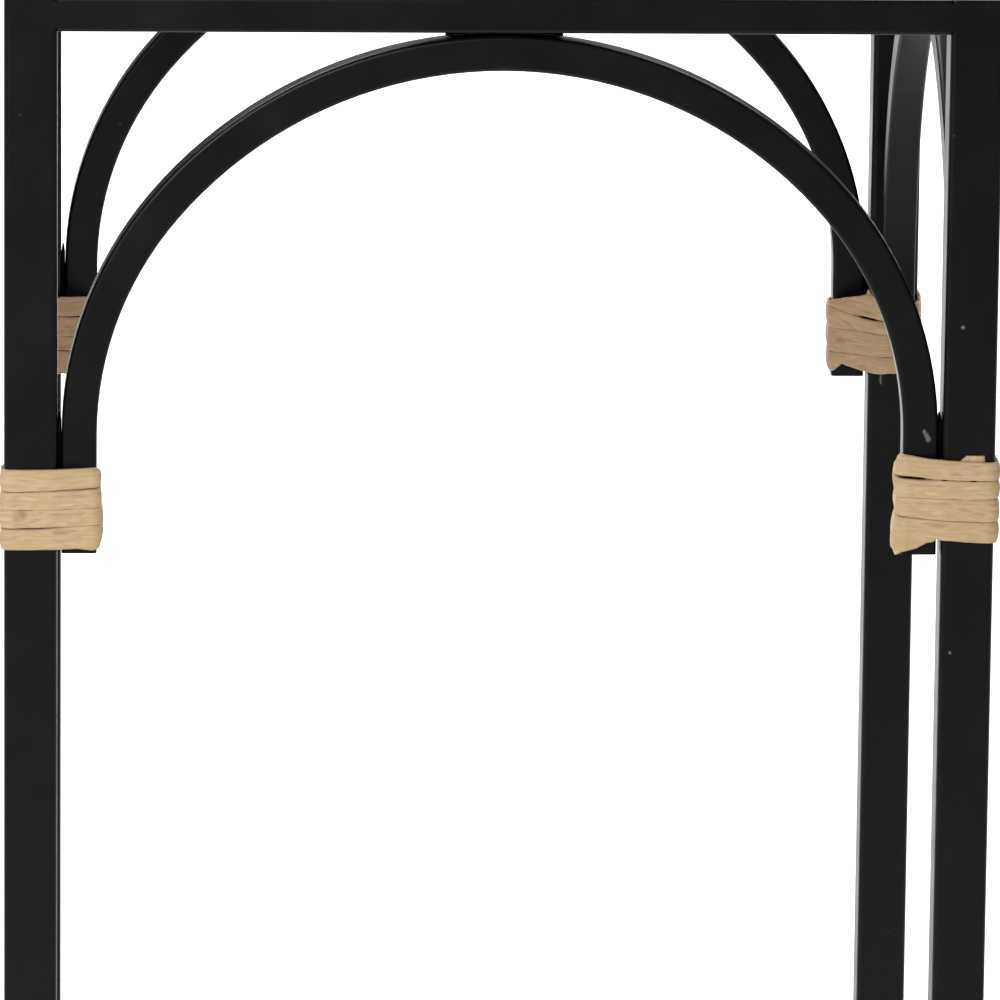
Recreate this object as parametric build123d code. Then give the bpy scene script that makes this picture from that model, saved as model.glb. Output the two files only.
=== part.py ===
"""Square stand frame: four legs, a ring of top rails, an arch in each side and a rattan binding at each corner."""

import os
from math import atan2, cos, degrees, sin

from build123d import *

# Driving dimensions in millimetres. X is the width, Y the depth with the front at -Y, Z up from the floor.
# The frame is the same on all four sides, so every piece is drawn once and turned about Z.
width = 355.6
height = 700.0
leg_size = 19.05
leg_wall = 1.2
leg_corner = 2.0
bar_size = 12.7  # tube of the top rails and of the arches
bar_wall = 1.2
bar_corner = 1.5

# Arch: a flat crown arc that runs into two tighter shoulders, then straight limbs.
arch_setback = 2.4  # from the frame's outer face to the arch's
limb_gap = 1.5  # between a limb and its leg, bridged by a weld
crown_gap = 1.3  # between the crown and the rail, bridged by a weld
arch_rise = 145.0  # spring line to the top of the crown
shoulder_radius = 128.0  # at the tube's centre line
limb_drop = 202.0  # top of the frame to the cut ends of the limbs

# Rattan binding round a leg and the two limbs beside it.
binding_top = 170.5  # below the top of the frame
binding_height = 30.0
binding_thickness = 1.5
binding_raise = {"front_left": 0, "front_right": 4.2, "back_right": 2.4, "back_left": 0.4}  # each is wound by hand

# End fittings and welds.
cap_thickness = 1.2
cap_edge = 0.6  # the plate's upper edge is dressed round after welding
glide_head = 4.0
glide_bevel = 1.2
glide_stem = 16.0
stem_clearance = 0.1
crown_weld_length = 26.0
limb_weld_length = 16.0
weld_depth = 8.0
fillet_weld = 2.5

# Worked out from the above.
half = width / 2
leg_centre = half - leg_size / 2
rail_length = width - 2 * leg_size
rail_z = height - bar_size / 2
arch_outer = half - leg_size - limb_gap
arch_y = -half + arch_setback + bar_size / 2
crown_top = height - bar_size - crown_gap
spring_z = crown_top - arch_rise

corners = {"front_left": 0, "front_right": 90, "back_right": 180, "back_left": 270}
sides = {"front": 0, "right": 90, "back": 180, "left": 270}

os.makedirs("parts", exist_ok=True)


def save(node, shape):
    """Write one node's solids under the name a person would use for it."""
    shape.label = node
    export_step(shape, f"parts/{node}.step")


def square(size, corner):
    return RectangleRounded(size, size, corner)


def tube_section(size, wall, corner):
    """Square tube: rolled outer corners, and an inner corner that keeps the wall even."""
    return square(size, corner) - square(size - 2 * wall, max(corner - wall, 0.3))


# Legs: upright tubes, closed at the top by a plate and standing on plastic glides.
leg_bottom = glide_head
leg_length = height - glide_head - cap_thickness
at_corner = Pos(-leg_centre, -leg_centre, 0)
leg = at_corner * Pos(0, 0, leg_bottom) * extrude(tube_section(leg_size, leg_wall, leg_corner), leg_length)
plate = extrude(square(leg_size, leg_corner), cap_thickness)
plate = fillet(plate.faces().sort_by(Axis.Z)[-1].edges(), cap_edge)
leg_cap = at_corner * Pos(0, 0, height - cap_thickness) * plate

# Glide: a bevelled head under the tube's end and a stem pushed up inside it.
stem_size = leg_size - 2 * leg_wall - 2 * stem_clearance
head = extrude(square(leg_size, leg_corner), glide_head)
head = chamfer(head.faces().sort_by(Axis.Z)[0].edges(), glide_bevel)
stem = Pos(0, 0, glide_head) * extrude(square(stem_size, leg_corner - leg_wall), glide_stem)
glide = at_corner * (head + stem)

# Top rail: between two legs, flush with their outer faces and tops.
rail_section = Plane.YZ * tube_section(bar_size, bar_wall, bar_corner)
rail = Pos(-rail_length / 2, -half + bar_size / 2, rail_z) * extrude(rail_section, rail_length)

# Arch centre line in the XZ plane, worked out so that each arc runs smoothly into the next.
limb_x = arch_outer - bar_size / 2
rise = arch_rise - bar_size / 2
reach = limb_x - shoulder_radius
lift = rise - shoulder_radius
crown_drop = (reach**2 - lift**2) / (2 * lift)
crown_radius = rise + crown_drop
join_angle = atan2(crown_drop, reach)


def on_arch(x, z):
    return (x, arch_y, spring_z + z)


def shoulder_point(angle):
    return reach + shoulder_radius * cos(angle), shoulder_radius * sin(angle)


join_x, join_z = shoulder_point(join_angle)
mid_x, mid_z = shoulder_point(join_angle / 2)
limb_end = height - limb_drop - spring_z
limb_left = Line(on_arch(-limb_x, limb_end), on_arch(-limb_x, 0))
shoulder_left = ThreePointArc(on_arch(-limb_x, 0), on_arch(-mid_x, mid_z), on_arch(-join_x, join_z))
crown = ThreePointArc(on_arch(-join_x, join_z), on_arch(0, rise), on_arch(join_x, join_z))
shoulder_right = ThreePointArc(on_arch(join_x, join_z), on_arch(mid_x, mid_z), on_arch(limb_x, 0))
limb_right = Line(on_arch(limb_x, 0), on_arch(limb_x, limb_end))
arch_path = Wire([limb_left, shoulder_left, crown, shoulder_right, limb_right])
arch_start = Plane(origin=on_arch(-limb_x, limb_end), x_dir=(1, 0, 0), z_dir=(0, 0, 1))
arch = sweep(arch_start * tube_section(bar_size, bar_wall, bar_corner), path=arch_path)

# Binding: a band pulled tight round the leg and the ends of the two arches that meet there.
limb_from_leg = arch_outer - bar_size / 2
limb_y = -arch_y
group = Pos(-leg_centre, -leg_centre) * Rectangle(leg_size, leg_size)
group += Pos(-limb_from_leg, -limb_y) * Rectangle(bar_size, bar_size)
group += Pos(-limb_y, -limb_from_leg) * Rectangle(bar_size, bar_size)
hull = make_hull(group.edges())
band = offset(hull, binding_thickness) - hull
binding = Pos(0, 0, height - binding_top - binding_height) * extrude(band, binding_height)

# Welds that bridge the gaps: one at each crown and one at each limb, under the binding.
rail_underside = height - bar_size
weld_block = Pos(0, arch_y, rail_underside) * Box(crown_weld_length, weld_depth, 4 * crown_gap)
above_rail = Pos(0, arch_y, rail_underside + 5 * crown_gap) * Box(crown_weld_length, weld_depth, 10 * crown_gap)
crown_outer_radius = crown_radius + bar_size / 2
below_crown = Pos(0, arch_y, crown_top - crown_outer_radius) * Rot(90, 0, 0) * Cylinder(crown_outer_radius, bar_size)
crown_weld = weld_block - above_rail - below_crown
limb_weld_z = height - binding_top - binding_height / 2
limb_weld = Pos(-(arch_outer + limb_gap / 2), arch_y, limb_weld_z) * Box(limb_gap, weld_depth, limb_weld_length)
limb_welds_here = [limb_weld, Pos(2 * (arch_outer + limb_gap / 2), 0, 0) * limb_weld]

# Rail welds: a fillet inside each corner, and a filler ground flush where the leg's rolled corner leaves a groove.
rail_weld_height = bar_size - 2 * bar_corner
bead_outline = Polyline((0, 0), (fillet_weld, 0), (0, fillet_weld), close=True)
bead = extrude(make_face(bead_outline), rail_weld_height)
bead_z = rail_z - rail_weld_height / 2
inner_bead = Pos(-rail_length / 2, -half + bar_size, bead_z) * bead
groove = Pos(leg_corner / 2, leg_corner / 2) * Rectangle(leg_corner, leg_corner) - Pos(0, leg_corner) * Circle(leg_corner)
filler = Pos(-rail_length / 2 - leg_corner, -half, bead_z) * extrude(groove, rail_weld_height)
rail_welds_here = [inner_bead, filler, mirror(inner_bead, Plane.YZ), mirror(filler, Plane.YZ)]


def turned(angle, shape):
    return Rot(0, 0, angle) * shape


def on_every_side(shapes):
    """The same small solids on all four sides, as one node."""
    return Compound(children=[turned(angle, s) for angle in sides.values() for s in shapes])


for corner, angle in corners.items():
    save(f"leg_{corner}", turned(angle, leg))
    save(f"leg_cap_{corner}", turned(angle, leg_cap))
    save(f"foot_glide_{corner}", turned(angle, glide))
    save(f"rattan_binding_{corner}", turned(angle, Pos(0, 0, binding_raise[corner]) * binding))

for side, angle in sides.items():
    save(f"top_rail_{side}", turned(angle, rail))
    save(f"arch_{side}", turned(angle, arch))

save("crown_welds", on_every_side([crown_weld]))
save("limb_welds", on_every_side(limb_welds_here))
save("rail_welds", on_every_side(rail_welds_here))

print("spring line", round(spring_z, 1), "crown radius", round(crown_radius, 1))
print("shoulders meet the crown at", round(90 - degrees(join_angle), 1), "degrees each side")
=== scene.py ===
"""Looks of the square stand frame: powder-coated steel tube with rattan peel bindings, on a pale studio floor."""

from math import cos, pi, radians, sin

import bmesh
import bpy
from mathutils import Matrix, Vector, geometry, noise


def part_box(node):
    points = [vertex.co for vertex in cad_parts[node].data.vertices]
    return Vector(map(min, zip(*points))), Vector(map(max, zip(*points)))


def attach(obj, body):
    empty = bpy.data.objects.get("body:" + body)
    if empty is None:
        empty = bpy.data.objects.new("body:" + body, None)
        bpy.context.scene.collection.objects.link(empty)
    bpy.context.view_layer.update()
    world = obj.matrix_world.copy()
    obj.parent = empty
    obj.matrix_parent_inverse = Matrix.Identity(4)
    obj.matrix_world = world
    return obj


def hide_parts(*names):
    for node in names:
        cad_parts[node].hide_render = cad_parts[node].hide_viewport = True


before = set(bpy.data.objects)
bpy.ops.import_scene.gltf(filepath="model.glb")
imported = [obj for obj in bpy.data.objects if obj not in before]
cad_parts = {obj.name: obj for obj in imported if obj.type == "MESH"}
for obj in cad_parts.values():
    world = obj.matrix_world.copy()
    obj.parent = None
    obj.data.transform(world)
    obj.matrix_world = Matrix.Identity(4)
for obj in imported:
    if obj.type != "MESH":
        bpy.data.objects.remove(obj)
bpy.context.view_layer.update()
MM = 0.001

# ---------------------------------------------------------------- colour and shader nodes


def linear(hex_colour):
    """An sRGB hex colour as linear RGBA."""
    channels = [int(hex_colour[i : i + 2], 16) / 255 for i in (1, 3, 5)]
    return [c / 12.92 if c <= 0.04045 else ((c + 0.055) / 1.055) ** 2.4 for c in channels] + [1.0]


def put(tree, kind, settings=None, links=None, stops=None):
    """A shader node with its settings (a property, or an input by name or number), its links and its ramp stops."""
    node = tree.nodes.new(kind)
    for name, value in (settings or {}).items():
        if isinstance(name, int) or name in node.inputs:
            node.inputs[name].default_value = value
        else:
            setattr(node, name, value)
    for name, output in (links or {}).items():
        tree.links.new(output, node.inputs[name])
    if stops:
        ramp = node.color_ramp.elements
        while len(ramp) < len(stops):
            ramp.new(0.5)
        for element, (position, hex_colour) in zip(ramp, stops):
            element.position = position
            element.color = linear(hex_colour)
    return node


def new_finish(name):
    """An empty node material: its tree and its output node."""
    material = bpy.data.materials.new(name)
    material.use_nodes = True
    tree = material.node_tree
    tree.nodes.clear()
    return material, tree, put(tree, "ShaderNodeOutputMaterial")


def waves(length_mm):
    """Noise scale for a pattern whose features repeat about every length_mm, on coordinates in metres."""
    return 1 / (length_mm * MM)


# Painted highlights on small blobs in the coat, drawn as light grey marks: centre in millimetres, then radius across
# and up.
PAINTED_COAT_GLINTS = [
    ((165.1, -177.8, 581.7), 1.0, 0.9),
    ((153.6, -175.4, 540.5), 1.2, 1.5),
    ((152.9, -175.4, 541.8), 1.0, 1.4),
    ((152.1, -175.4, 543.1), 0.8, 1.2),
    ((162.7, -177.8, 462.4), 0.7, 0.9),
]


def mark(tree, where, centre, wide, tall, softness):
    """1 at an oval mark's centre and 0 outside it. Sizes are in millimetres."""
    offset = put(
        tree,
        "ShaderNodeVectorMath",
        {"operation": "SUBTRACT", 1: [c * MM for c in centre]},
        {0: where},
    )
    squeezed = put(
        tree,
        "ShaderNodeVectorMath",
        {"operation": "MULTIPLY", 1: [1 / (wide * MM), 1 / (wide * MM), 1 / (tall * MM)]},
        {0: offset.outputs[0]},
    )
    reach = put(tree, "ShaderNodeVectorMath", {"operation": "LENGTH"}, {0: squeezed.outputs[0]})
    return put(
        tree,
        "ShaderNodeMapRange",
        {"From Min": 1.0, "From Max": 1.0 - softness, "To Min": 0.0, "To Max": 1.0},
        {"Value": reach.outputs["Value"]},
    ).outputs[0]


def satin_powder_coat():
    """Black polyester powder, sprayed and baked: it flows into a faint orange peel, so long highlights break up
    softly."""
    material, tree, out = new_finish("satin black polyester powder coat on steel")
    where = put(tree, "ShaderNodeTexCoord").outputs["Object"]
    # Handling leaves a thin grey haze in patches about 35 mm across.
    haze = put(tree, "ShaderNodeTexNoise", {"Scale": waves(35), "Detail": 3.0, "Roughness": 0.6}, {"Vector": where})
    coat = put(
        tree,
        "ShaderNodeValToRGB",
        links={"Fac": haze.outputs[0]},
        stops=[(0.3, "#0A0908"), (0.55, "#0D0B0A"), (0.75, "#110F0E")],
    )
    # Dust nibs under the coat, one in a 9 mm cell at most.
    cells = put(tree, "ShaderNodeTexVoronoi", {"Scale": waves(9)}, {"Vector": where})
    nib_here = put(tree, "ShaderNodeMath", {"operation": "LESS_THAN", 1: 0.045}, {0: cells.outputs["Distance"]})
    few = put(tree, "ShaderNodeSeparateColor", links={"Color": cells.outputs["Color"]})
    chosen = put(tree, "ShaderNodeMath", {"operation": "GREATER_THAN", 1: 0.8}, {0: few.outputs[0]})
    nib = put(tree, "ShaderNodeMath", {"operation": "MULTIPLY"}, {0: nib_here.outputs[0], 1: chosen.outputs[0]})
    dusted = put(
        tree,
        "ShaderNodeMix",
        {"data_type": "RGBA", 7: linear("#3A3836")},
        {0: nib.outputs[0], 6: coat.outputs[0]},
    )
    colour = dusted.outputs[2]
    # Painted highlights: light grey marks where small blobs in the coat catch a glint.
    for centre, wide, tall in PAINTED_COAT_GLINTS:
        glint = mark(tree, where, centre, wide, tall, 0.7)
        colour = put(
            tree, "ShaderNodeMix", {"data_type": "RGBA", 7: linear("#747072")}, {0: glint, 6: colour}
        ).outputs[2]
    # Orange peel about 2 mm across; a real one is 0.01 mm deep, drawn at 0.03 mm so that it shows.
    peel = put(tree, "ShaderNodeTexNoise", {"Scale": waves(2.2), "Detail": 1.5}, {"Vector": where})
    peel_bump = put(tree, "ShaderNodeBump", {"Strength": 0.6, "Distance": 0.03 * MM}, {"Height": peel.outputs[0]})
    # Powder grain is under 0.1 mm, too fine to show, so it is drawn at 0.45 mm.
    grain = put(tree, "ShaderNodeTexNoise", {"Scale": waves(0.45), "Detail": 2.0}, {"Vector": where})
    grain_bump = put(
        tree,
        "ShaderNodeBump",
        {"Strength": 0.5, "Distance": 0.006 * MM},
        {"Height": grain.outputs[0], "Normal": peel_bump.outputs[0]},
    )
    satin = put(
        tree,
        "ShaderNodeMapRange",
        {"From Min": 0.3, "From Max": 0.7, "To Min": 0.3, "To Max": 0.4},
        {"Value": haze.outputs[0]},
    )
    shader = put(
        tree,
        "ShaderNodeBsdfPrincipled",
        {"IOR": 1.5, "Specular IOR Level": 0.2},
        {"Base Color": colour, "Roughness": satin.outputs[0], "Normal": grain_bump.outputs[0]},
    )
    tree.links.new(shader.outputs[0], out.inputs[0])
    return material


def split_rattan_peel():
    """The outer skin of a rattan cane, split and wound damp: fine fibre lines run along it, and its cut edges are
    darker, partly from dust and partly from painted shade."""
    material, tree, out = new_finish("split rattan peel, wound damp and dried")
    where = put(tree, "ShaderNodeTexCoord").outputs["Object"]
    # The strip's own map: metres along it, and metres across it.
    along = put(tree, "ShaderNodeUVMap", {"uv_map": "strip"}).outputs[0]
    # Vascular fibres are 0.25 mm apart, too fine to show, so they are drawn at 0.6 mm, and run on for about 30 mm.
    fibre_way = put(tree, "ShaderNodeMapping", {"Scale": (waves(30), waves(0.6), 1.0)}, {"Vector": along})
    fibres = put(
        tree, "ShaderNodeTexNoise", {"Scale": 1.0, "Detail": 3.0, "Roughness": 0.6}, {"Vector": fibre_way.outputs[0]}
    )
    # Growth colour drifts along the cane every 16 mm or so, and in bands 3.6 mm wide across it.
    drift_way = put(tree, "ShaderNodeMapping", {"Scale": (waves(16), waves(3.6), 1.0)}, {"Vector": along})
    drift = put(tree, "ShaderNodeTexNoise", {"Scale": 1.0, "Detail": 2.0}, {"Vector": drift_way.outputs[0]})
    straw = put(
        tree,
        "ShaderNodeValToRGB",
        links={"Fac": drift.outputs[0]},
        stops=[(0.3, "#B99A72"), (0.44, "#D6BA97"), (0.58, "#C8AF80"), (0.72, "#DFC6A6")],
    )
    streaks = put(
        tree,
        "ShaderNodeValToRGB",
        links={"Fac": fibres.outputs[0]},
        stops=[(0.25, "#B4905F"), (0.42, "#E9DCC6"), (0.7, "#FFFFFF")],
    )
    fibred = put(
        tree,
        "ShaderNodeMix",
        {"data_type": "RGBA", "blend_type": "MULTIPLY", 0: 0.42},
        {6: straw.outputs[0], 7: streaks.outputs[0]},
    )
    # Cut edges and the seams between turns are darkened: partly the dust and old varnish they hold, partly painted
    # shade where turns meet and the strip tucks under.
    edge = put(tree, "ShaderNodeAttribute", {"attribute_name": "seam"})
    ragged = put(tree, "ShaderNodeMath", {"operation": "MULTIPLY"}, {0: edge.outputs["Fac"], 1: fibres.outputs[0]})
    seam_dirt_and_shade = put(
        tree,
        "ShaderNodeMapRange",
        {"From Min": 0.12, "From Max": 0.5, "To Min": 0.0, "To Max": 0.75},
        {"Value": ragged.outputs[0]},
    )
    edged = put(
        tree,
        "ShaderNodeMix",
        {"data_type": "RGBA", 7: linear("#8A6A45")},
        {0: seam_dirt_and_shade.outputs[0], 6: fibred.outputs[2]},
    )
    # A leaf scar: a soft brown smudge 5 mm across, on the front left binding.
    scar = mark(tree, where, LEAF_SCAR, 3.0, 3.0, 1.0)
    blotchy = put(tree, "ShaderNodeTexNoise", {"Scale": waves(2.2), "Detail": 2.0}, {"Vector": where})
    blotches = put(
        tree,
        "ShaderNodeMapRange",
        {"From Min": 0.35, "From Max": 0.65, "To Min": 0.45, "To Max": 1.0},
        {"Value": blotchy.outputs[0]},
    )
    smudge = put(tree, "ShaderNodeMath", {"operation": "MULTIPLY"}, {0: scar, 1: blotches.outputs[0]})
    scarred = put(
        tree,
        "ShaderNodeMix",
        {"data_type": "RGBA", 7: linear("#8A6A3A")},
        {0: smudge.outputs[0], 6: edged.outputs[2]},
    )
    # Painted shade: the back bindings, which less light reaches, are darkened by their brown value, the back left
    # most.
    painted_shade = put(tree, "ShaderNodeAttribute", {"attribute_name": "brown"})
    shaded = put(
        tree,
        "ShaderNodeMix",
        {"data_type": "RGBA", "blend_type": "MULTIPLY", 7: linear("#C8BEBC")},
        {0: painted_shade.outputs["Fac"], 6: scarred.outputs[2]},
    )
    fibre_bump = put(tree, "ShaderNodeBump", {"Strength": 0.7, "Distance": 0.08 * MM}, {"Height": fibres.outputs[0]})
    lumps = put(tree, "ShaderNodeTexNoise", {"Scale": waves(4), "Detail": 2.0}, {"Vector": where})
    lump_bump = put(
        tree,
        "ShaderNodeBump",
        {"Strength": 0.5, "Distance": 0.25 * MM},
        {"Height": lumps.outputs[0], "Normal": fibre_bump.outputs[0]},
    )
    dry = put(
        tree,
        "ShaderNodeMapRange",
        {"From Min": 0.3, "From Max": 0.7, "To Min": 0.62, "To Max": 0.48},
        {"Value": fibres.outputs[0]},
    )
    shader = put(
        tree,
        "ShaderNodeBsdfPrincipled",
        {"IOR": 1.5, "Specular IOR Level": 0.4},
        {"Base Color": shaded.outputs[2], "Roughness": dry.outputs[0], "Normal": lump_bump.outputs[0]},
    )
    tree.links.new(shader.outputs[0], out.inputs[0])
    return material


def moulded_polypropylene():
    """Injection-moulded black plastic with a fine spark-eroded grain, duller than the coat on the steel."""
    material, tree, out = new_finish("moulded black polypropylene")
    where = put(tree, "ShaderNodeTexCoord").outputs["Object"]
    scuffs = put(tree, "ShaderNodeTexNoise", {"Scale": waves(6), "Detail": 4.0}, {"Vector": where})
    colour = put(
        tree,
        "ShaderNodeValToRGB",
        links={"Fac": scuffs.outputs[0]},
        stops=[(0.35, "#161616"), (0.7, "#222221")],
    )
    # Mould grain is 0.1 mm, drawn at 0.4 mm so that it shows.
    grain = put(tree, "ShaderNodeTexNoise", {"Scale": waves(0.4), "Detail": 1.0}, {"Vector": where})
    bump = put(tree, "ShaderNodeBump", {"Strength": 0.6, "Distance": 0.02 * MM}, {"Height": grain.outputs[0]})
    dull = put(
        tree,
        "ShaderNodeMapRange",
        {"From Min": 0.3, "From Max": 0.7, "To Min": 0.5, "To Max": 0.65},
        {"Value": scuffs.outputs[0]},
    )
    shader = put(
        tree,
        "ShaderNodeBsdfPrincipled",
        {"IOR": 1.49},
        {"Base Color": colour.outputs[0], "Roughness": dull.outputs[0], "Normal": bump.outputs[0]},
    )
    tree.links.new(shader.outputs[0], out.inputs[0])
    return material


# ---------------------------------------------------------------- where things are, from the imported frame

leg_low, leg_high = (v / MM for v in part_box("leg_front_left"))
arch_low, arch_high = (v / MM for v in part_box("arch_front"))
rail_low, rail_high = (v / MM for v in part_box("top_rail_front"))
LEG_CORNER = 2.0
BAR_CORNER = 1.5
BAR = rail_high.z - rail_low.z
TURNS = {"front_left": 0, "front_right": 90, "back_right": 180, "back_left": 270}
LEAF_SCAR = (-171.9, leg_low.y - 1.6, 512.6)


def turned(point, degrees_about_z):
    """A point of the front left corner, carried to another corner."""
    a = radians(degrees_about_z)
    x, y, z = point
    return Vector((x * cos(a) - y * sin(a), x * sin(a) + y * cos(a), z))


# ---------------------------------------------------------------- the line a binding follows round its corner

OUTLINE_STEP = 0.25


def bound_group():
    """Corner discs (x, y, radius) of the leg and of the two limbs beside it, at the front left corner."""
    limb_far = arch_low.x + BAR
    discs = []
    for x, y in ((leg_low.x, leg_low.y), (leg_high.x, leg_low.y), (leg_low.x, leg_high.y)):
        inset_x = LEG_CORNER if x == leg_low.x else -LEG_CORNER
        inset_y = LEG_CORNER if y == leg_low.y else -LEG_CORNER
        discs.append((x + inset_x, y + inset_y, LEG_CORNER))
    for y in (arch_low.y + BAR_CORNER, arch_high.y - BAR_CORNER):
        discs.append((limb_far - BAR_CORNER, y, BAR_CORNER))
        discs.append((y, limb_far - BAR_CORNER, BAR_CORNER))
    return discs


def tight_outline():
    """Points and outward normals of a string pulled round the group, every quarter millimetre, clockwise from above
    from the middle of the face that looks into the frame."""
    rim = []
    for x, y, r in bound_group():
        for k in range(36):
            a = 2 * pi * k / 36
            rim.append(Vector((x + r * cos(a), y + r * sin(a))))
    loop = [rim[i] for i in geometry.convex_hull_2d(rim)]
    area = sum(a.x * b.y - a.y * b.x for a, b in zip(loop, loop[1:] + loop[:1]))
    if area > 0:
        loop.reverse()
    dense = []
    for a, b in zip(loop, loop[1:] + loop[:1]):
        pieces = max(1, round((b - a).length / OUTLINE_STEP))
        dense += [a.lerp(b, k / pieces) for k in range(pieces)]
    start = max(range(len(dense)), key=lambda i: dense[i].x + dense[i].y - 0.02 * abs(dense[i].x - dense[i].y))
    dense = dense[start:] + dense[:start]
    n = len(dense)
    reach = round(1.0 / OUTLINE_STEP)
    normals = []
    for i in range(n):
        chord = dense[(i + reach) % n] - dense[(i - reach) % n]
        normals.append(Vector((-chord.y, chord.x)).normalized())
    bend_reach = round(2.5 / OUTLINE_STEP)
    bends = []
    for i in range(n):
        turn = normals[(i + bend_reach) % n].angle(normals[(i - bend_reach) % n])
        bends.append(min(1.0, turn / radians(50)))
    return dense, normals, bends


OUTLINE, OUTWARD, BEND = tight_outline()
AROUND = len(OUTLINE) * OUTLINE_STEP


def on_outline(turn):
    """Point, outward normal and how sharply the line bends (0 to 1) at a number of turns from its start."""
    place = (turn % 1.0) * len(OUTLINE)
    i = int(place) % len(OUTLINE)
    j = (i + 1) % len(OUTLINE)
    part = place - int(place)
    return (
        OUTLINE[i].lerp(OUTLINE[j], part),
        OUTWARD[i].lerp(OUTWARD[j], part).normalized(),
        BEND[i] * (1 - part) + BEND[j] * part,
    )


def read(table, at):
    """A value read off a table of (position, value), eased between its entries."""
    if at <= table[0][0]:
        return table[0][1]
    for (a, low), (b, high) in zip(table, table[1:]):
        if at <= b:
            part = (at - a) / (b - a)
            part = part * part * (3 - 2 * part) * 0.5 + part * 0.5
            return low + (high - low) * part
    return table[-1][1]
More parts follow.
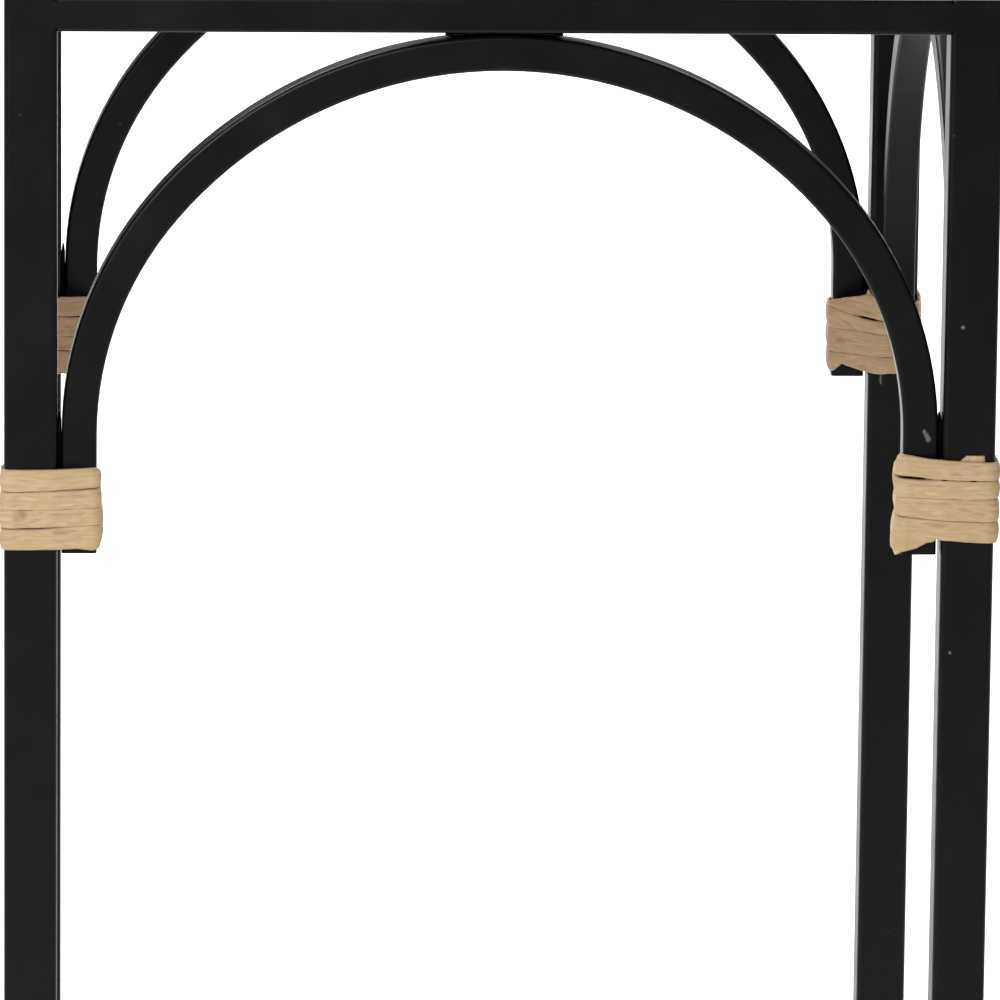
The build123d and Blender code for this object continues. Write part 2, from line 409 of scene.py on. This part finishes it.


# Each binding is one strip wound upwards. Heights are in millimetres, positions in turns from the inner face.
# seam: height of the strip's lower edge, which is also the seam with the turn below. bottom, top: where the winding
# ends, once round. brown: how much painted shade darkens the binding, for the light falling off towards the back.
# clear: how open the seam is, and how dark it is with dust and painted shade. slits: (turn, half length, gap). lift:
# how far the strip stands off, at the seam. tail: the end tucked up under the turns, as rows (height, from, to).
WINDINGS = {
    "front_left": {
        "way": -1,
        "seed": 3,
        "brown": 0.0,
        "seam": [
            (-0.3, 490.8), (0.0, 495.3), (0.5, 497.5), (0.783, 497.5), (1.0, 503.8), (1.22, 506.3), (1.5, 507.5),
            (1.783, 508.6), (2.0, 511.2), (2.22, 513.4), (2.5, 514.3), (2.783, 514.8), (3.0, 518.0), (3.22, 520.1),
            (3.5, 520.9), (3.783, 521.9), (4.0, 525.5), (4.22, 528.3), (4.5, 531.0), (5.5, 538.0),
        ],
        "bottom": [
            (0.0, 503.0), (0.3, 500.6), (0.5, 499.7), (0.6, 499.8), (0.72, 500.0), (0.77, 499.2), (0.787, 499.6),
            (0.8, 501.0), (0.83, 503.0), (0.87, 503.6), (1.0, 503.0),
        ],
        "top": [
            (0.0, 526.4), (0.3, 526.8), (0.44, 528.2), (0.5, 529.2), (0.64, 529.3), (0.775, 529.6), (0.8, 528.6),
            (0.84, 526.8), (1.0, 526.4),
        ],
        "clear": [
            (0.0, 0.8), (1.3, 0.6), (1.52, 0.75), (1.56, 1.0), (1.64, 1.0), (1.7, 0.4), (1.8, 0.35), (2.2, 0.6),
            (2.5, 0.18), (2.8, 0.22), (3.1, 0.6), (3.45, 0.5), (3.65, 0.75), (3.78, 1.0), (4.5, 0.9),
        ],
        "start": -0.12,
        "end": 4.2,
        "slits": [(1.595, 0.055, 0.2), (1.1, 0.04, 0.5)],
        "lift": [
            (0.0, 0.0), (0.7, 0.0), (1.5, 0.1), (1.72, 0.5), (1.79, 1.0), (1.85, 1.1), (1.95, 0.2), (2.7, 0.1),
            (2.8, 0.2), (3.0, 0.0), (5.0, 0.0),
        ],
        "tail": [(520.0, 0.93, 0.98), (526.4, 0.93, 0.98), (527.6, 0.94, 0.975)],
    },
    "front_right": {
        "way": 1,
        "seed": 11,
        "brown": 0.04,
        "seam": [
            (-0.3, 492.0), (0.0, 497.0), (0.5, 499.5), (0.783, 496.8), (0.9, 500.0), (1.0, 507.5), (1.22, 509.6),
            (1.5, 510.7), (1.62, 510.9), (1.783, 512.3), (2.0, 515.4), (2.22, 518.0), (2.5, 518.9), (2.783, 519.3),
            (3.0, 522.5), (3.22, 524.8), (3.5, 525.6), (3.66, 526.1), (3.783, 526.9), (4.0, 530.6), (4.22, 533.0),
            (4.5, 537.0), (5.5, 544.0),
        ],
        "bottom": [
            (0.0, 503.6), (0.11, 503.1), (0.3, 502.9), (0.507, 502.8), (0.555, 503.1), (0.656, 503.9), (0.672, 504.6),
            (0.677, 503.5), (0.701, 503.1), (0.72, 501.9), (0.734, 500.9), (0.76, 500.1), (0.777, 499.3),
            (0.785, 497.7), (0.79, 499.2), (0.8, 499.5), (0.82, 499.9), (0.832, 501.2), (0.86, 502.6), (0.9, 503.8),
            (1.0, 503.6),
        ],
        "top": [
            (0.0, 530.4), (0.2, 531.4), (0.488, 532.5), (0.6, 533.1), (0.688, 533.7), (0.79, 535.2), (0.81, 534.0),
            (0.84, 531.6), (0.9, 530.6), (1.0, 530.4),
        ],
        "clear": [
            (0.0, 0.8), (1.45, 0.35), (1.6, 0.5), (1.75, 0.65), (1.85, 0.5), (2.2, 0.6), (2.45, 0.2), (2.8, 0.3),
            (3.2, 0.7), (3.5, 0.45), (3.62, 0.35), (3.68, 0.6), (3.71, 1.0), (3.85, 1.0), (4.0, 0.7),
        ],
        "start": -0.12,
        "end": 4.2,
        "slits": [(3.752, 0.047, 0.7), (3.651, 0.009, 0.5), (3.562, 0.012, 0.4), (2.15, 0.05, 0.5)],
        "lift": [
            (0.0, 0.2), (0.62, 0.2), (0.72, 1.0), (0.83, 2.3), (0.95, 0.8), (1.1, 0.1), (1.5, 0.4), (1.75, 0.5),
            (1.83, 0.8), (2.0, 0.2), (2.7, 0.3), (2.83, 0.9), (3.0, 0.2), (3.45, 0.5), (3.6, 0.6), (3.7, 0.9),
            (3.81, 1.9), (3.95, 0.6), (4.0, 0.3), (4.5, 0.4), (4.7, 0.3), (5.0, 0.2),
        ],
        "tail": [(526.0, 0.525, 0.604), (532.9, 0.525, 0.604), (534.2, 0.526, 0.592), (534.9, 0.528, 0.584)],
    },
    "back_right": {
        "way": 1,
        "seed": 23,
        "brown": 0.6,
        "seam": [
            (-0.3, 493.0), (0.0, 497.2), (0.3, 498.0), (0.6, 500.0), (0.86, 509.2), (0.93, 509.0), (1.0, 508.6),
            (1.12, 508.1), (1.5, 512.0), (1.86, 518.1), (2.0, 518.0), (2.12, 517.7), (2.5, 520.6), (2.86, 523.5),
            (2.9, 523.6), (2.99, 524.0), (3.03, 524.5), (3.12, 526.2), (3.3, 527.0), (3.6, 528.4), (3.89, 534.5),
            (4.5, 540.0),
        ],
        "bottom": [
            (0.0, 502.8), (0.045, 503.4), (0.066, 503.9), (0.085, 501.9), (0.105, 500.3), (0.15, 500.3), (0.3, 501.0),
            (0.6, 501.5), (0.86, 502.7), (0.91, 502.0), (0.977, 502.4), (1.0, 502.8),
        ],
        "top": [
            (0.0, 531.8), (0.033, 531.0), (0.105, 529.1), (0.13, 527.6), (0.2, 527.2), (0.35, 530.0), (0.6, 531.0),
            (0.8, 530.8), (0.87, 531.2), (0.93, 533.0), (0.955, 533.1), (1.0, 531.8),
        ],
        "clear": [
            (0.0, 0.5), (0.86, 0.3), (1.1, 0.22), (1.5, 0.6), (1.86, 0.2), (2.1, 0.2), (2.6, 0.7), (2.88, 0.8),
            (2.9, 1.0), (2.99, 1.0), (3.02, 0.25), (3.5, 0.5), (4.5, 0.5),
        ],
        "start": -0.2,
        "end": 3.85,
        "slits": [(2.944, 0.045, 0.8), (2.4, 0.05, 0.3)],
        "lift": [
            (0.0, 0.0), (0.9, 0.1), (1.1, 0.3), (1.2, 0.2), (2.0, 0.2), (3.0, 0.6), (3.3, 0.2), (4.0, 0.3),
            (5.0, 0.2),
        ],
        "tail": [(526.0, 0.925, 0.97), (532.6, 0.93, 0.965), (534.0, 0.942, 0.958), (535.1, 0.949, 0.953)],
    },
    "back_left": {
        "way": 1,
        "seed": 37,
        "brown": 0.95,
        "seam": [
            (-0.3, 491.0), (0.0, 496.0), (0.3, 498.4), (0.6, 499.6), (0.89, 507.3), (1.0, 509.4), (1.11, 510.9),
            (1.5, 512.0), (1.89, 513.6), (2.0, 515.2), (2.11, 516.6), (2.5, 518.4), (2.89, 521.2), (3.0, 522.8),
            (3.11, 524.4), (3.5, 527.6), (3.89, 533.5), (4.5, 538.0),
        ],
        "bottom": [(0.0, 500.1), (0.067, 501.1), (0.11, 500.8), (0.5, 499.9), (0.9, 499.6), (1.0, 500.1)],
        "top": [(0.0, 530.7), (0.067, 531.6), (0.11, 531.3), (0.5, 529.9), (0.89, 529.3), (1.0, 530.7)],
        "clear": [(0.0, 0.5), (0.9, 0.5), (1.1, 0.5), (1.5, 0.6), (1.9, 0.2), (2.1, 0.25), (2.5, 0.6), (2.9, 0.5),
                  (3.1, 0.6), (4.5, 0.5)],
        "start": -0.2,
        "end": 3.8,
        "slits": [(3.0, 0.05, 0.25), (1.5, 0.06, 0.4), (2.4, 0.05, 0.3)],
        "lift": [(0.0, 0.0), (1.0, 0.2), (2.0, 0.1), (3.0, 0.3), (4.0, 0.2), (5.0, 0.1)],
        "tail": [(521.0, 0.3, 0.36), (529.8, 0.3, 0.36), (531.4, 0.31, 0.35)],
    },
}

STATION = 1.0  # spacing of sections along the strip
PEEL = 1.35  # thickness of the peel at its middle
# Places across the peel, from its lower edge to its upper.
ACROSS = (-1.0, -0.965, -0.88, -0.72, -0.5, -0.25, 0.0, 0.25, 0.5, 0.72, 0.88, 0.965, 1.0)
CLOSED_SEAM = 0.03  # half the gap left where two turns are pulled tight together
NARROWEST = 0.6  # a strip thinner than this has run out
FULL_WIDTH = 4.0  # a strip this wide has its whole thickness
OFF_THE_STEEL = 0.04
TUCK_IN = 0.12  # the back of the strip is narrower than its face by this at each edge


def slit_at(winding, turn):
    """Half the gap open at the seam there."""
    gap = CLOSED_SEAM
    for centre, half_length, opening in winding["slits"]:
        away = abs(turn - centre) / half_length
        if away < 1:
            gap = max(gap, opening / 2 * (1 - away**4))
    return gap


def wobble(a, b, seed):
    """Smooth unevenness between about -1 and 1, the same on every run."""
    return noise.noise(Vector((a, b, seed * 7.3)))


def peel_section(winding, turn):
    """One section of the wound strip: (height, distance out, seam shade) round it, or None where it has run out."""
    f = turn % 1.0
    seed = winding["seed"]
    run = turn * AROUND
    low = read(winding["seam"], turn) + slit_at(winding, turn)
    high = read(winding["seam"], turn + 1) - slit_at(winding, turn + 1)
    low += 0.16 * wobble(run / 9, 0, seed) + 0.07 * wobble(run / 2.2, 1, seed)
    high += 0.16 * wobble(run / 9, 2, seed) + 0.07 * wobble(run / 2.2, 3, seed)
    fray = 0.1 * wobble(run / 1.1, 5, seed)
    floor = read(winding["bottom"], f) + fray
    ceiling = read(winding["top"], f) + fray * 0.6
    low, high = max(low, floor), min(high, ceiling)
    if high - low < NARROWEST:
        return None
    bend = on_outline(winding["way"] * turn)[2]
    lift_low, lift_high = read(winding["lift"], turn), read(winding["lift"], turn + 1)
    fullness = min(1.0, (high - low) / FULL_WIDTH)
    thick = PEEL * (0.7 + 0.3 * fullness) * (1 + 0.12 * wobble(run / 14, 8, seed))
    edge = 0.88 - 0.5 * bend
    clear_low, clear_high = read(winding["clear"], turn), read(winding["clear"], turn + 1)
    section = []
    for v in ACROSS:
        part = (v + 1) / 2
        clear = clear_low if v < 0 else clear_high
        crown = 1 - (1 - edge) * (0.35 + 0.65 * clear) * abs(v) ** 2.2
        if abs(v) == 1.0:
            crown *= 1 - 0.5 * clear
        elif abs(v) > 0.95:
            crown *= 1 - 0.14 * clear
        out = thick * crown * (1 + 0.22 * bend)
        out += lift_low * (1 - part) + lift_high * part
        out += 0.09 * wobble(run / 5, v * 2.2, seed) + 0.05 * wobble(run / 1.6, v * 5, seed + 1)
        section.append((low + (high - low) * part, OFF_THE_STEEL + out, abs(v) ** 6 * clear))
    # The strip's back edges, tucked against the steel, take the full seam darkening: painted shade, with some dust.
    section.append((high - TUCK_IN, OFF_THE_STEEL / 2 + lift_high * 0.7, 1.0))
    section.append((low + TUCK_IN, OFF_THE_STEEL / 2 + lift_low * 0.7, 1.0))
    return section


def skin(mesh, rings, strip_map, seam_dust_and_shade):
    """Joins rings of (point, along, across, seam) into one closed skin with its strip map."""
    made = []
    for ring in rings:
        verts = []
        for point, along, across, seam in ring:
            vert = mesh.verts.new(point * MM)
            vert[seam_dust_and_shade] = seam
            verts.append((vert, along, across))
        made.append(verts)
    count = len(made[0])
    for first, second in zip(made, made[1:]):
        for k in range(count):
            corner = [first[k], first[(k + 1) % count], second[(k + 1) % count], second[k]]
            face = mesh.faces.new([c[0] for c in corner])
            face.smooth = True
            for loop, (_, along, across) in zip(face.loops, corner):
                loop[strip_map].uv = (along * MM, across * MM)
    for end in (made[0], made[-1]):
        face = mesh.faces.new([c[0] for c in end])
        for loop, (_, along, across) in zip(face.loops, end):
            loop[strip_map].uv = (along * MM, across * MM)


def binding(corner):
    """A rattan binding: the wound strip, and the ends tucked under it."""
    winding = WINDINGS[corner]
    mesh = bmesh.new()
    strip_map = mesh.loops.layers.uv.new("strip")
    seam_dust_and_shade = mesh.verts.layers.float.new("seam")
    painted_shade_layer = mesh.verts.layers.float.new("brown")
    stations = round((winding["end"] - winding["start"]) * AROUND / STATION)
    rings, run_of_rings = [], []
    for s in range(stations + 1):
        turn = winding["start"] + (winding["end"] - winding["start"]) * s / stations
        section = peel_section(winding, turn)
        if section is None:
            if len(rings) > 2:
                run_of_rings.append(rings)
            rings = []
            continue
        at, outward, _ = on_outline(winding["way"] * turn)
        level = read(winding["seam"], turn + 1)
        ring = []
        for z, out, seam in section:
            spot = at + outward * out
            point = turned((spot.x, spot.y, z), TURNS[corner])
            ring.append((point, turn * AROUND, z - level, seam))
        rings.append(ring)
    if len(rings) > 2:
        run_of_rings.append(rings)
    for rings in run_of_rings:
        skin(mesh, rings, strip_map, seam_dust_and_shade)
    tucked_tail(mesh, corner, strip_map, seam_dust_and_shade)
    # Each binding's painted shade, from its brown value, as a vertex attribute.
    for vert in mesh.verts:
        vert[painted_shade_layer] = winding["brown"]
    bmesh.ops.recalc_face_normals(mesh, faces=mesh.faces)
    piece = finish_mesh(mesh, f"rattan_winding_{corner}")
    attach(piece, "root")
    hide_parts(f"rattan_binding_{corner}")
    piece.data.materials.append(PEEL_FINISH)


def tucked_tail(mesh, corner, strip_map, seam_dust_and_shade):
    """The strip's end, pushed up under the turns so that its tip shows above them."""
    winding = WINDINGS[corner]
    rows = winding["tail"]
    steps, levels = 12, 4
    rings = []
    for (low, *span), (high, *next_span) in zip(rows, rows[1:] + rows[-1:]):
        for k in range(levels if low < high else 1):
            part = k / levels
            z = low + (high - low) * part
            start, end = (a + (b - a) * part for a, b in zip(span, next_span))
            front, back = [], []
            for j in range(steps + 1):
                across = j / steps
                turn = start + (end - start) * across
                at, outward, _ = on_outline(winding["way"] * turn)
                rough = 0.25 * wobble(across * 5, 4, winding["seed"]) if low == high else 0.0
                shape = 1 - abs(2 * across - 1) ** 4
                for side, out in ((front, 0.3 + 0.6 * shape), (back, 0.1)):
                    spot = at + outward * out
                    point = turned((spot.x, spot.y, z + rough), TURNS[corner])
                    side.append((point, z, turn * AROUND, 0.0))
            rings.append(front + back[::-1])
    skin(mesh, rings, strip_map, seam_dust_and_shade)


BEAD_STEP = 0.35  # spacing of sections along a weld
RIPPLE = 1.4  # the puddle moved on by this each time
NOSE = 4.0  # length of a bead's rounded end
BEAD_SIDES = 20


def weld_bead(mesh, start, end, across, through, bow, strip_map, seam_dust_and_shade):
    """A bead that fills a gap, with the ripples its puddle left. Where a gap widens towards the bead's ends, it sags
    by the bow and thickens."""
    length = (end - start).length
    steps = round(length / BEAD_STEP)
    rings = []
    for s in range(steps + 1):
        part = s / steps
        run = part * length
        away = (2 * part - 1) ** 2
        ripple = 1 + 0.035 * sin(2 * pi * run / RIPPLE) + 0.04 * noise.noise(Vector((run / 3, start.x, start.y)))
        taper = min(1.0, 0.2 + run / NOSE, 0.2 + (length - run) / NOSE) ** 0.5
        middle = start.lerp(end, part) - Vector((0, 0, bow * away))
        thick = through * (1 + away * bow / through.length)
        ring = []
        for k in range(BEAD_SIDES):
            a = 2 * pi * k / BEAD_SIDES
            ring.append((middle + across * (cos(a) * ripple * taper) + thick * (sin(a) * taper), run, 0.0, 0.0))
        rings.append(ring)
    skin(mesh, rings, strip_map, seam_dust_and_shade)


def weld_beads(name, node, beads):
    """Every bead of one node, on all four sides: (start, end, across, through, bow)."""
    mesh = bmesh.new()
    strip_map = mesh.loops.layers.uv.new("strip")
    seam_dust_and_shade = mesh.verts.layers.float.new("seam")
    for angle in TURNS.values():
        for start, end, across, through, bow in beads:
            places = [turned(v, angle) for v in (start, end, across, through)]
            weld_bead(mesh, *places, bow, strip_map, seam_dust_and_shade)
    bmesh.ops.recalc_face_normals(mesh, faces=mesh.faces)
    piece = finish_mesh(mesh, name)
    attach(piece, "root")
    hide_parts(node)
    piece.data.materials.append(COAT_FINISH)


def finish_mesh(mesh, name):
    """Turns a mesh in the making into an object in the scene."""
    data = bpy.data.meshes.new(name)
    mesh.to_mesh(data)
    mesh.free()
    piece = bpy.data.objects.new(name, data)
    bpy.context.scene.collection.objects.link(piece)
    return piece


# ---------------------------------------------------------------- finishes on the steel and the glides

COAT_FINISH = satin_powder_coat()
PEEL_FINISH = split_rattan_peel()
GLIDE_FINISH = moulded_polypropylene()

for name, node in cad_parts.items():
    finish = GLIDE_FINISH if name.startswith("foot_glide") else COAT_FINISH
    for slot in node.material_slots:
        slot.material = finish

for corner in TURNS:
    binding(corner)

# The limb welds run up out of the bindings until the arch curves away from the leg.
gap_middle = (leg_high.x + arch_low.x) / 2
gap_half = (arch_low.x - leg_high.x) / 2
arch_middle = (arch_low.y + arch_high.y) / 2
weld_foot, weld_head = 506.5, 549.0
half_depth = (0, 3.9, 0)
limb_beads = []
for side in (-1, 1):
    foot = (side * gap_middle, arch_middle, weld_foot)
    head = (side * gap_middle, arch_middle, weld_head)
    limb_beads.append((foot, head, half_depth, (gap_half, 0, 0), 0.0))
weld_beads("limb_weld_beads", "limb_welds", limb_beads)

# Each crown weld runs on 21 mm to either side, as far as the puddle would bridge the widening gap.
crown_middle = (rail_low.z + arch_high.z) / 2
crown_gap_half = (rail_low.z - arch_high.z) / 2
crown_reach, crown_bow = 21, 0.7
crown_ends = [(x, arch_middle, crown_middle) for x in (-crown_reach, crown_reach)]
weld_beads("crown_weld_beads", "crown_welds", [(*crown_ends, half_depth, (0, 0, crown_gap_half), crown_bow)])

# ---------------------------------------------------------------- floor, light and camera


def studio_floor():
    """A wide pale floor that the frame stands on."""
    mesh = bmesh.new()
    bmesh.ops.create_circle(mesh, cap_ends=True, cap_tris=False, segments=96, radius=16.0)
    floor = finish_mesh(mesh, "studio_floor")
    material, tree, out = new_finish("matt white painted floor")
    where = put(tree, "ShaderNodeTexCoord").outputs["Object"]
    patches = put(tree, "ShaderNodeTexNoise", {"Scale": 0.6, "Detail": 2.0}, {"Vector": where})
    colour = put(
        tree, "ShaderNodeValToRGB", links={"Fac": patches.outputs[0]}, stops=[(0.3, "#F0F0F0"), (0.7, "#F4F4F4")]
    )
    shader = put(
        tree,
        "ShaderNodeBsdfPrincipled",
        {"Roughness": 0.9, "Specular IOR Level": 0.1},
        {"Base Color": colour.outputs[0]},
    )
    tree.links.new(shader.outputs[0], out.inputs[0])
    floor.data.materials.append(material)


def softbox(name, place, aim, wide, deep, watts):
    """A rectangular diffused lamp. Places in metres."""
    lamp = bpy.data.lights.new(name, "AREA")
    lamp.shape = "RECTANGLE"
    lamp.size, lamp.size_y, lamp.energy = wide, deep, watts
    holder = bpy.data.objects.new(name, lamp)
    holder.location = place
    holder.rotation_mode = "QUATERNION"
    holder.rotation_quaternion = (Vector(aim) - Vector(place)).to_track_quat("-Z", "Y")
    bpy.context.scene.collection.objects.link(holder)


studio_floor()
softbox("key_front_left", (-0.55, -1.3, 1.15), (-0.03, -0.15, 0.55), 0.6, 0.6, 13)
softbox("background_wash", (0.0, 3.7, 4.2), (0.0, 3.3, 0.0), 7.0, 4.6, 600)

world = bpy.data.worlds.new("studio")
world.use_nodes = True
world.node_tree.nodes["Background"].inputs["Color"].default_value = linear("#F4F6F8")
world.node_tree.nodes["Background"].inputs["Strength"].default_value = 0.16
bpy.context.scene.world = world


def camera_at(place, turn, tilt, roll, lens):
    """A camera that looks along +Y, turned to the right, tilted down and rolled, in degrees."""
    turn, tilt, roll = radians(turn), radians(tilt), radians(roll)
    forward = Vector((sin(turn) * cos(tilt), cos(turn) * cos(tilt), -sin(tilt)))
    level = Vector((cos(turn), -sin(turn), 0.0))
    down = forward.cross(level)
    across = level * cos(roll) + down * sin(roll)
    below = down * cos(roll) - level * sin(roll)
    axes = Matrix((across, -below, -forward)).transposed()
    view = bpy.data.cameras.new("camera")
    view.lens = lens
    view.sensor_width = 36.0
    view.clip_end = 100.0
    camera = bpy.data.objects.new("camera", view)
    camera.matrix_world = Matrix.Translation(place) @ axes.to_4x4()
    bpy.context.scene.collection.objects.link(camera)
    bpy.context.scene.camera = camera


camera_at((-0.14369, -3.5522, 1.21654), 2.436, 11.68, -0.6, 346.29)
bpy.context.scene.view_settings.view_transform = "Standard"
